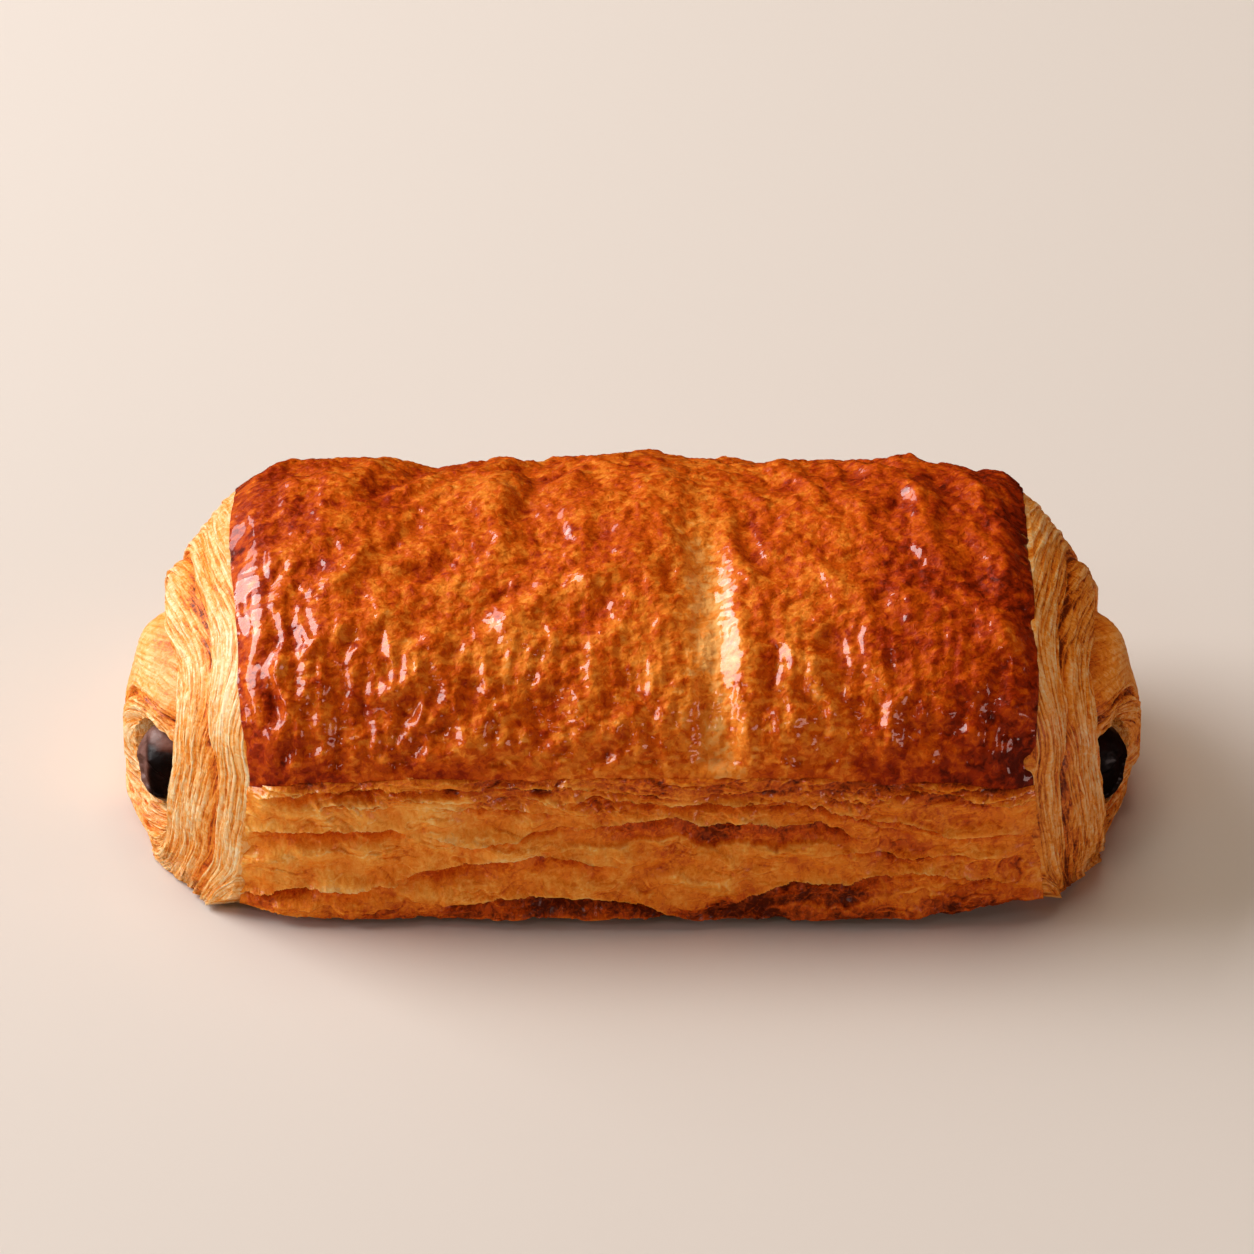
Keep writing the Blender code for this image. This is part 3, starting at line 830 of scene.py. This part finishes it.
def side_relief(x, z, lips, nicks, seed):
    """How far the sheets stand out from the even side, how brown they are painted (partly browning, partly
    painted shade) and how pale (painted highlights), and a tone of grain with painted light and shade on the
    puffs.
    """
    bend_x, bend_z = wander(x / 6, z / 5, seed + 1), wander(x / 6, z / 5, seed + 2)
    puffs = wander(x / 9 + 0.4 * bend_x, z / 4.6 + 0.3 * bend_z, seed + 5)
    small_puffs = wander(x / 3.6 + 0.5 * bend_x, z / 2.2 + 0.5 * bend_z, seed + 7)
    relief = 0.12 * rough(x / 4, z / 3, seed, 4) + 1.1 * puffs + 0.45 * small_puffs
    brown = edge = 0.0 * x
    drift = 1.5 * wander(x / 17, z / 7, seed + 3) + 0.5 * wander(x / 5, z / 4, seed + 4)
    strength = mix(0.16, 1.25, ease((z - 14.2) / 2.6))
    for pitch, depth, k in STACKED:
        saw, part, stands = sheets((z + drift) / pitch, x, seed + k)
        relief += strength * depth * (saw - 0.4)
        # Painted shade near the top of each sheet, under the next one's lip, and a painted highlight along each
        # lip.
        brown = np.maximum(brown, depth * strength * ease((part - 0.45) / 0.5) * stands)
        edge = np.maximum(edge, strength * depth / STACKED[0][1] * ease((0.25 - part) / 0.2) * stands)
    for long, tall, rise, k in TORN:
        torn = 0.3 * wander(x / 1.5, z / 1.5, seed + k)
        line = wander(x / long + 0.8 * bend_x, z / tall + 0.8 * bend_z + torn, seed + k + 1)
        here = ease(0.45 + 1.3 * wander(x / 6, z / 3, seed + k + 2))
        relief += rise * ease(0.5 + line / 0.12) * here
        # A pale edge along each torn line is a painted highlight, and the brown line just below it a painted
        # shadow.
        edge = np.maximum(edge, (0.5 + rise) * ease(1 - np.abs(line - 0.06) / 0.06) * here)
        brown = np.maximum(brown, (0.1 + rise) * ease(1 - np.abs(line + 0.09) / 0.08) * here)
    crumple = wander(x / 0.8 + z / 1.2, z / 1.5, seed + 240) * ease((z - 13.8) / 1.6) * ease((18.8 - z) / 1.0)
    relief += 0.55 * crumple * ease(0.5 + 1.5 * wander(x / 7, z / 5, seed + 241)) * ease((42 - np.abs(x)) / 4)
    for k, lip in enumerate(lips):
        lip_relief, lip_brown, lip_edge = open_lip(x, z, lip, seed + k)
        relief += lip_relief
        brown, edge = np.maximum(brown, lip_brown), np.maximum(edge, lip_edge)
    for centre, height, half_length, half_height, depth in nicks:
        reach = ((x - centre) / half_length) ** 2 + ((z - height) / half_height) ** 2
        pit = np.exp(-(reach**1.6))
        relief -= depth * pit
        # Each pit is painted darker inside: painted shade.
        brown = np.maximum(brown, 0.9 * pit)
    grains, grain_tone = cells(x / 0.8 + 0.6 * wander(x / 3, z / 2, seed + 6), z / 1.5, seed + 60)
    relief += 0.14 * grains * grain_tone
    # The puffs are painted paler where they stand out and darker where they sink: painted light and shade,
    # added to the grain's tone.
    return relief, brown, edge, 0.12 * (grain_tone - 0.5) - 0.2 * puffs - 0.12 * small_puffs


def side_piece(name, facing, lips, nicks, seed):
    """One parted side, from the glazed sheet's lip down to the foot; facing is -1 for the shown side."""
    share = np.linspace(0, 1, SIDE_COLUMNS)[None, :]
    z = np.linspace(0, 1, SIDE_ROWS)[:, None] ** 0.97 * (LIP_HEIGHT + 1.1)
    left = -cut_edge(-1, facing * HALF_DEPTH, z) - 0.2 * rough(z / 1.1, 0 * z, seed + 70, 4)
    right = cut_edge(1, facing * HALF_DEPTH, z) + 0.2 * rough(z / 1.1, 0 * z, seed + 80, 4)
    x = mix(left, right, share)
    z = z + 0 * x
    end_gap = np.minimum(x - left, right - x)
    relief, brown, edge, grain = side_relief(x, z, lips, nicks, seed)

    # The sheets stand on the even side: out under the glaze, in again behind its lip, flared at the foot.
    foot_flare = 2.2 * np.exp(-z / 2.2) * (1 - 0.8 * ease((np.abs(x) - 33) / 12))
    out = side_face(x, z) - 0.7 + 0.9 * ease((z - 14.5) / 3.5) + foot_flare
    out += relief * mix(0.4, 1.0, ease(end_gap / 2.0)) - 0.8 * rounded_corner(end_gap, z)
    out -= 0.9 * ease((z - 16.3) / 1.6) * (1 - ease(end_gap / 4.5))
    out -= 1.8 * ease((z - LIP_HEIGHT - along(LIP_LINE, x) + 0.5) / 0.9)
    out = np.minimum(out, np.minimum(HALF_DEPTH + bow(x) + 1.3, SIDE_LIMIT)) - 4.2 * np.exp(-z / 0.4)
    foot_z = 0.35 + 0.4 * ease(rough(x / 7, 0 * x, seed + 95)) + 1.7 * ease((x - 34) / 12)
    skin = np.stack([x, facing * out, z + foot_z * np.exp(-z / 1.5)], axis=2)

    under_glaze = ease((z - 14.3) / 2.6)
    # brown holds hollows, pits and lines under edges, partly browning and partly painted shade; grain holds
    # painted light and shade on the puffs.
    bake_and_shading = 0.42 + 0.08 * rough(x / 8, z / 3, seed + 90) + 0.5 * brown + grain
    # Pale edges along lips and torn lines: painted highlights.
    bake_and_shading -= np.minimum(edge, 1) * mix(0.28, 0.3, under_glaze)
    bake_and_shading += 0.08 * under_glaze + 0.15 * ease((z - 17.3) / 1.2)
    bake_and_shading += 0.4 * np.exp(-z / 1.1) + 0.25 * ease((6 - z) / 5)  # darker toward the tray
    # Darker to the right and paler to the left: painted light and shade, as the lamp stands to the left.
    bake_and_shading += 0.16 * ease((x + 20) / 60) - 0.07 * ease((-x - 8) / 20) * (1 - under_glaze)  # and to the right
    tones = {"bake_and_shading": np.clip(bake_and_shading, 0, 1), "gloss": mix(0.25, 0.9, under_glaze)}
    tones = {key: padded(value, 1, 1) for key, value in tones.items()}
    inner = skin[[0, -1]].copy()
    inner[:, :, 1] -= facing * SIDE_THICKNESS
    skin = np.concatenate([inner[:1], skin, inner[1:]])
    return dress(name, rolled_skin(name, skin, tones), sheet_finish, "pastry")


side_piece("front_layers", -1, FRONT_LIPS, NICKS, 100)
side_piece("back_layers", 1, BACK_LIPS, (), 300)

# %% [markdown]
# ## The wound ends
#
# Cut across, the roll shows its layers edge on: hundreds of fine strands that wind round the chocolate and
# are squashed flat below. The grid here is polar, from the chocolate out to the loaf's outline. A second
# measure, the layer, tells which strand a point is on; its lines would close below the tray, so the tray
# cuts them off, and the strands end there like the pages of a book. Seams part the turns: each is a line
# of (share of a full turn, layer), starting at the front.

# %% Shape of an end
END_ANGLES, END_RINGS = 480, 192
CHANNEL = (4.8, 5.0, 2.4)  # half width, half height, exponent
VIRTUAL_DEPTH = 9.0  # how far the layers would go on below the tray
INNER_X = 40.0  # how far from the middle the closed back of an end lies
FRONT_ROWS, TOP_ROWS, BACK_ROWS = 120, 190, 60
SWELLINGS = ((2.3, (4, 13), (21, 6.5)), (0.7, (-4, 12), (12, 6)))  # rise, and where and how wide in y and z
OUTER_SEAM = (
    (0.0, 0.78), (0.06, 0.76), (0.155, 0.66), (0.3, 0.70), (0.4, 0.75), (0.6, 0.72), (0.75, 0.8), (1.0, 0.78),
)
MIDDLE_SEAM = (
    (0.0, 0.29), (0.1, 0.30), (0.2, 0.35), (0.3, 0.43), (0.42, 0.58), (0.55, 0.58), (0.75, 0.5), (0.9, 0.33),
    (1.0, 0.29),
)
INNER_SEAM = (
    (0.0, 0.26), (0.2, 0.26), (0.3, 0.27), (0.45, 0.25), (0.57, 0.26), (0.66, 0.32), (0.75, 0.41), (0.85, 0.38),
    (1.0, 0.26),
)
SEAMS = ((OUTER_SEAM, 1.1, 0.7), (MIDDLE_SEAM, 3.4, 2.0), (INNER_SEAM, 0.9, 0.6))  # line, depth, half width
SEAM_FADE = ((0.0, 1.0), (0.5, 1.0), (0.64, 0.15), (0.86, 0.15), (0.96, 1.0), (1.0, 1.0))
print("seams between the turns:", len(SEAMS))


def layer_reach(angle):
    """How far the outermost layer would be from the chocolate's middle, on below the tray as well."""
    half = np.where(np.cos(angle) < 0, HALF_DEPTH + BATON_Y, HALF_DEPTH - BATON_Y)
    rise = np.where(np.sin(angle) > 0, HEIGHT - BATON_Z, BATON_Z + VIRTUAL_DEPTH)
    return oval(angle, half, rise, 2.4)


def strands(lines, turn, seed):
    """Edges of the layers: 1 along the middle of each strand and 0 in the grooves between them."""
    lines = lines + 0.18 * wander(turn * 30, lines / 2, seed) + 0.35 * wander(lines * 0.6, turn * 4, seed + 3)
    count = np.floor(lines)
    part = lines - count
    size = 0.35 + 0.65 * ease(0.5 + wander(turn * 8, count * 3.7, seed + 1))
    return (1 - np.abs(2 * part - 1) ** 3) * size


def end_texture(layer, turn, seed):
    """Coarse and fine strands, grain, loose pages near the tray and a slow patchiness, on one end."""
    wave = 0.02 * wander(turn * 7, layer * 2.5, seed) + 0.003 * wander(turn * 40, layer * 9, seed + 1)
    lines = layer + wave
    return np.stack([
        strands(lines * 42, turn, seed + 3),
        strands(lines * 80, turn, seed + 2),
        wander(lines * 120, turn * 60, seed + 4),
        np.abs(wander(lines * 15, turn * 2, seed + 5)),
        rough(turn * 8, layer * 4, seed + 7),
    ])


def smooth_turn(layer, turn):
    """1 where a turn of dough lies skin outwards above and behind the chocolate, and 0 where strands show."""
    within = ease((layer - along(INNER_SEAM, turn)) / 0.05) * ease((along(MIDDLE_SEAM, turn) - layer) / 0.05)
    return within * ease((turn - 0.18) / 0.06) * ease((0.66 - turn) / 0.08)


def outline_loop():
    """Points (y, z) round the loaf where it meets an end, evenly counted: front, top, back, base."""
    base_z, top_z = 0.15, LIP_HEIGHT - 0.1

    def upright(z):
        return side_face(BODY_HALF, z) + 0.4 * ease((z - 14) / 5.4)

    up, down = np.linspace(base_z, top_z, FRONT_ROWS), np.linspace(top_z, base_z, BACK_ROWS)
    top = np.stack(crown_arch(BODY_HALF, np.linspace(0, math.pi, TOP_ROWS)))
    half = side_face(BODY_HALF, base_z)
    rest = END_ANGLES - FRONT_ROWS - TOP_ROWS - BACK_ROWS
    base = np.stack([np.linspace(half, -half, rest + 2)[1:-1], np.full(rest, base_z)])
    return np.concatenate([np.stack([-upright(up), up]), top, np.stack([upright(down), down]), base], axis=1)


def end_reach(side, edge, y, z):
    """How far from the middle the rounded end comes, before its layers part."""
    out = dome(y, z)
    swelling = sum(rise * hump(y, *in_y) * hump(z, *in_z) for rise, in_y, in_z in SWELLINGS)
    tucked = 1.7 * ease((8 - z) / 8) * ease(3 * out) if side > 0 else 0.0
    return mix(edge, HALF_LENGTH, out) + swelling - tucked


# %% [markdown]
# ## Both ends, from the chocolate to the rim
#
# Each ring of the grid is a mix of the channel's wall and the loaf's outline. The strands, pages and seams
# push its points in and out, most where the dough was cut and least where a turn lies skin outwards. The
# right end was tucked under a little, and it is painted darker than the left one: painted shade on the end
# that faces away from the lamp.


# %% Shape both ends
def end_piece(name, side, seed):
    """The face of one end; side is -1 for the left end."""
    is_right = side > 0
    y0, z0 = outline_loop()
    edge = cut_edge(side, y0, z0)
    rim_x = end_reach(side, edge, y0, z0)
    inset = rounded_corner(0.0, z0) + 0.35
    inward = np.stack([-y0, 0.3 * LIP_HEIGHT - z0])
    inward /= np.linalg.norm(inward, axis=0)
    y0, z0 = y0 + inward[0] * inset, z0 + inward[1] * inset * (z0 > 1)

    # The rings, and the layer and the turn that each point is on.
    angle = np.arctan2(z0 - BATON_Z, y0 - BATON_Y)
    turn = ((math.pi - angle) / math.tau) % 1.0
    wall = oval(angle, *CHANNEL)
    wall_y, wall_z = BATON_Y + wall * np.cos(angle), BATON_Z + wall * np.sin(angle)
    span = np.hypot(y0 - wall_y, z0 - wall_z)
    share = np.linspace(0, 1, END_RINGS)[:, None]
    y, z = mix(wall_y, y0, share), mix(wall_z, z0, share)
    reach = np.hypot(y - BATON_Y, z - BATON_Z)
    layer = reach / layer_reach(angle)

    # Strands, loose pages near the tray, and seams.
    again = ease((turn - 0.9) / 0.1)
    texture = mix(end_texture(layer, turn, seed), end_texture(layer, turn - 1, seed), again)
    coarse, fine, grain, pages, patches = texture
    sheer = smooth_turn(layer, turn)
    near_floor = ease((9 - z) / 8)
    relief = (0.5 * coarse + 0.2 * fine + 0.06 * grain) * mix(1.0, 0.3, sheer)
    relief += near_floor * 1.2 * (pages - 0.4)
    seams = groove = 0 * layer
    for line, depth, half_width in SEAMS:
        away = (layer - along(line, turn)) * layer_reach(angle) / half_width
        parted = np.exp(-np.abs(away) ** 1.5) * along(SEAM_FADE, turn)
        seams = seams + depth * parted
        groove = np.maximum(groove, parted * (depth < 1.2))
    relief -= seams

    # How far out each point comes: the rounded end, a ridge in front, the hollow round the chocolate.
    facing_front = ease(-np.cos(angle) / 0.5)
    out = end_reach(side, edge, y, z) + 0.7 * hump(layer, 0.5, 0.12) * facing_front
    out -= 2.0 * facing_front * ease((0.5 - layer) / 0.2)
    out -= 1.4 * ease((wall + 2.5 - reach) / 2.5) * (1 - facing_front)
    out += (rim_x - end_reach(side, edge, y0, z0)) * share**4
    out += relief * mix(1.0, ease((1 - share) * span / 1.2), ease(z0 / 3))
    out = np.minimum(out, HALF_LENGTH - 0.1)
    lift = (1.6 if is_right else 0.5) * hump(y, -30, 6) * ease((6 - z) / 6)
    face = np.stack([side * out, y, z + lift], axis=2)

    striped = 0.5 - 0.3 * coarse - 0.12 * fine - 0.06 * grain + 0.3 * groove
    # The right end is painted darker than the left, and more so toward the tray: painted shade on the end away
    # from the lamp.
    tone = mix(striped, 0.5 * striped + 0.14, sheer) + 0.08 * patches + (0.22 if is_right else 0.05)
    tone += (0.1 if is_right else 0.04) * ease((9 - z) / 9) + 0.06 * near_floor * (1 - pages)
    tone += 0.16 * np.minimum(seams, 1.5) / 1.5

    # The strip that comes back inside the loaf: a rim, a point half way, and the channel's wall.
    rim_z = np.maximum(0.15, z0 + inward[1] * 0.5) + lift[-1]
    rim = np.stack([side * (rim_x - 3.0), y0 + inward[0] * 0.5, rim_z], axis=1)[None]
    inner_x = np.full_like(rim_x, side * INNER_X)
    deep = np.stack([inner_x, mix(wall_y, y0, 0.5), mix(wall_z, z0, 0.5)], axis=1)[None]
    throat = np.stack([inner_x, wall_y, wall_z], axis=1)[None]
    around = turn * math.tau + 0 * layer
    tones = {
        "bake_and_shading": np.clip(tone, 0, 1),
        "loose": mix(1.0, 0.35, sheer),
        "strand": np.stack([layer, np.cos(around), np.sin(around)], axis=2),
    }
    tones = {key: padded(value, 0, 3) for key, value in tones.items()}
    mesh = rolled_skin(name, np.concatenate([face, rim, deep, throat]), tones, ends="join")
    return dress(name, mesh, edge_finish, "pastry")


end_piece("left_end", -1, 500)
end_piece("right_end", 1, 600)

# %% [markdown]
# ## The underside
#
# It lay on the tray: flat, evenly browned and a little dented. A thin slab with the loaf's footprint does.

# %% Shape the underside
BASE_COLUMNS, BASE_ROWS = 180, 90
SLAB_TOP, TRAY_GAP = 1.2, 0.04


def underside():
    """A thin slab with the loaf's footprint, its lower face up to 0.4 mm off the tray."""
    share = np.linspace(0, 1, BASE_COLUMNS)[None, :]
    across = np.linspace(-1, 1, BASE_ROWS)[:, None]
    y = across * (side_face(0.0, 0.0) - 4.4)
    half = mix(BODY_HALF, HALF_LENGTH, dome(y, 0 * y)) - 2.0
    x = mix(-half, half, share)
    y = y - np.sign(y) * (bow(0.0) - bow(x)) * np.abs(across)
    dents = 0.12 + 0.12 * rough(x / 6, y / 6, 700, 4)
    z = np.clip(dents, 0.0, 0.4) * ease(np.minimum(half - np.abs(x), 26 - np.abs(y)) / 2) + TRAY_GAP
    under = np.stack([x, y, z], axis=2)
    rim = under[[0, -1]].copy()
    rim[:, :, 2] = SLAB_TOP
    tone = 0.72 + 0.12 * rough(x / 10, y / 10, 701) + 0.6 * (0.12 - dents)
    skin = np.concatenate([rim[:1], under, rim[1:]])
    return rolled_skin("underside", skin, {"bake_and_shading": padded(np.clip(tone, 0, 1), 1, 1)})


dress("underside", underside(), sheet_finish, "pastry")

# %% [markdown]
# ## The chocolate baton
#
# The bar melted a little in the oven and set again: rounded edges and a tip that sank in the middle. A paler
# rim along the end and top of the left tip is a painted sheen, and the right tip is painted dark, painted
# shade. It is a tube of nearly round rings, close together at both tips.

# %% Shape and finish of the chocolate
# The palest colour is for the painted sheen on the tips.
CHOCOLATE_COLOURS = ((128, 92, 84), (74, 40, 30), (32, 13, 8), (14, 5, 3))
chocolate_finish, _ = toned_material(
    "dark_chocolate", CHOCOLATE_COLOURS, tones=(0.0, 0.4, 0.7, 1.0),
    speckle=(800, 0.2, 0.0), crinkle=(1300, (1, 1, 1), 0.05), shine=(0.4, 0.15, 0.1, 0.15),
)
BATON_HALF, BATON_EXPONENT, BATON_TIP, BATON_BODY = (4.6, 4.8), 2.1, 57.9, 50
BATON_SIDES, BODY_RINGS, CAP_RINGS = 160, 24, 60


def baton():
    """The bar's points [ring, round it, xyz] and its tones: a cap of rings, the body, a cap again."""
    around = np.linspace(0, math.tau, BATON_SIDES, endpoint=False)[None, :]
    body = np.linspace(-BATON_BODY, BATON_BODY, BODY_RINGS)
    cap = np.linspace(0, 1, CAP_RINGS + 1)
    share = np.concatenate([cap[:-1], np.ones(BODY_RINGS), cap[::-1][1:]])[:, None]
    side = np.sign(np.concatenate([-np.ones(CAP_RINGS), body, np.ones(CAP_RINGS)]))[:, None]
    reach = oval(around, 1, 1, BATON_EXPONENT)
    y, z = BATON_HALF[0] * reach * np.cos(around) * share, BATON_HALF[1] * reach * np.sin(around) * share
    rounding = mix(3.8, 5.0, ease((1.5 - y) / 5)) * (1 - np.sqrt(np.clip(1 - share**2.1, 0, 1)))
    sunk = ease((2.7 - np.hypot(y + 2.0, z + 0.6) + 0.3 * wander(y, z, 803)) / 0.6)
    tip = BATON_TIP - rounding - 0.8 * sunk + 0.15 * rough(y / 1.6, z / 1.6, 801) * ease((1 - share) / 0.2)
    x = side * tip + 0 * y
    x[CAP_RINGS:CAP_RINGS + BODY_RINGS] = body[:, None]
    skin = np.stack([x, BATON_Y + y, BATON_Z + z], axis=2)
    # A paler rim along the end and top of each tip is a painted sheen; on the right tip it stays nearly as dark
    # as the core, painted shade.
    painted_sheen = np.maximum(ease((np.abs(x) - 55.9) / 1.0), ease((z - 2.8) / 1.2)) + 0.5 * (np.abs(x) < BATON_BODY)
    tone = mix(0.95, np.where(x < 0, 0.1, 0.8), painted_sheen) + 0.15 * rough(y / 1.5, z / 1.5, 802)
    return skin, np.clip(tone, 0, 1)


skin, tone = baton()
tube = rolled_skin("chocolate", skin.transpose(1, 0, 2), {"bake_and_shading": tone.T})
dress("chocolate", tube, chocolate_finish, "chocolate_baton")

# %% [markdown]
# ## The floor
#
# A plain pale sheet under the pastry takes the soft shadow. It is large, so that its edges stay out of view.

# %% Lay the floor
FLOOR_COLOUR, FLOOR_ROUGHNESS, FLOOR_HALF = (222, 215, 210), 0.8, 4  # the half side in metres
floor_bm = bmesh.new()
bmesh.ops.create_grid(floor_bm, x_segments=1, y_segments=1, size=FLOOR_HALF)
floor_mesh = bpy.data.meshes.new("floor")
floor_bm.to_mesh(floor_mesh)
floor_bm.free()
floor = put("floor", floor_mesh)
floor_finish, floor_shader = new_material("pale_paper")
floor_shader.inputs["Base Color"].default_value = linear(*FLOOR_COLOUR)
floor_shader.inputs["Roughness"].default_value = FLOOR_ROUGHNESS
floor_mesh.materials.append(floor_finish)
floor.visible_glossy = False
print("floor:", [round(side) for side in floor.dimensions[:2]], "m")
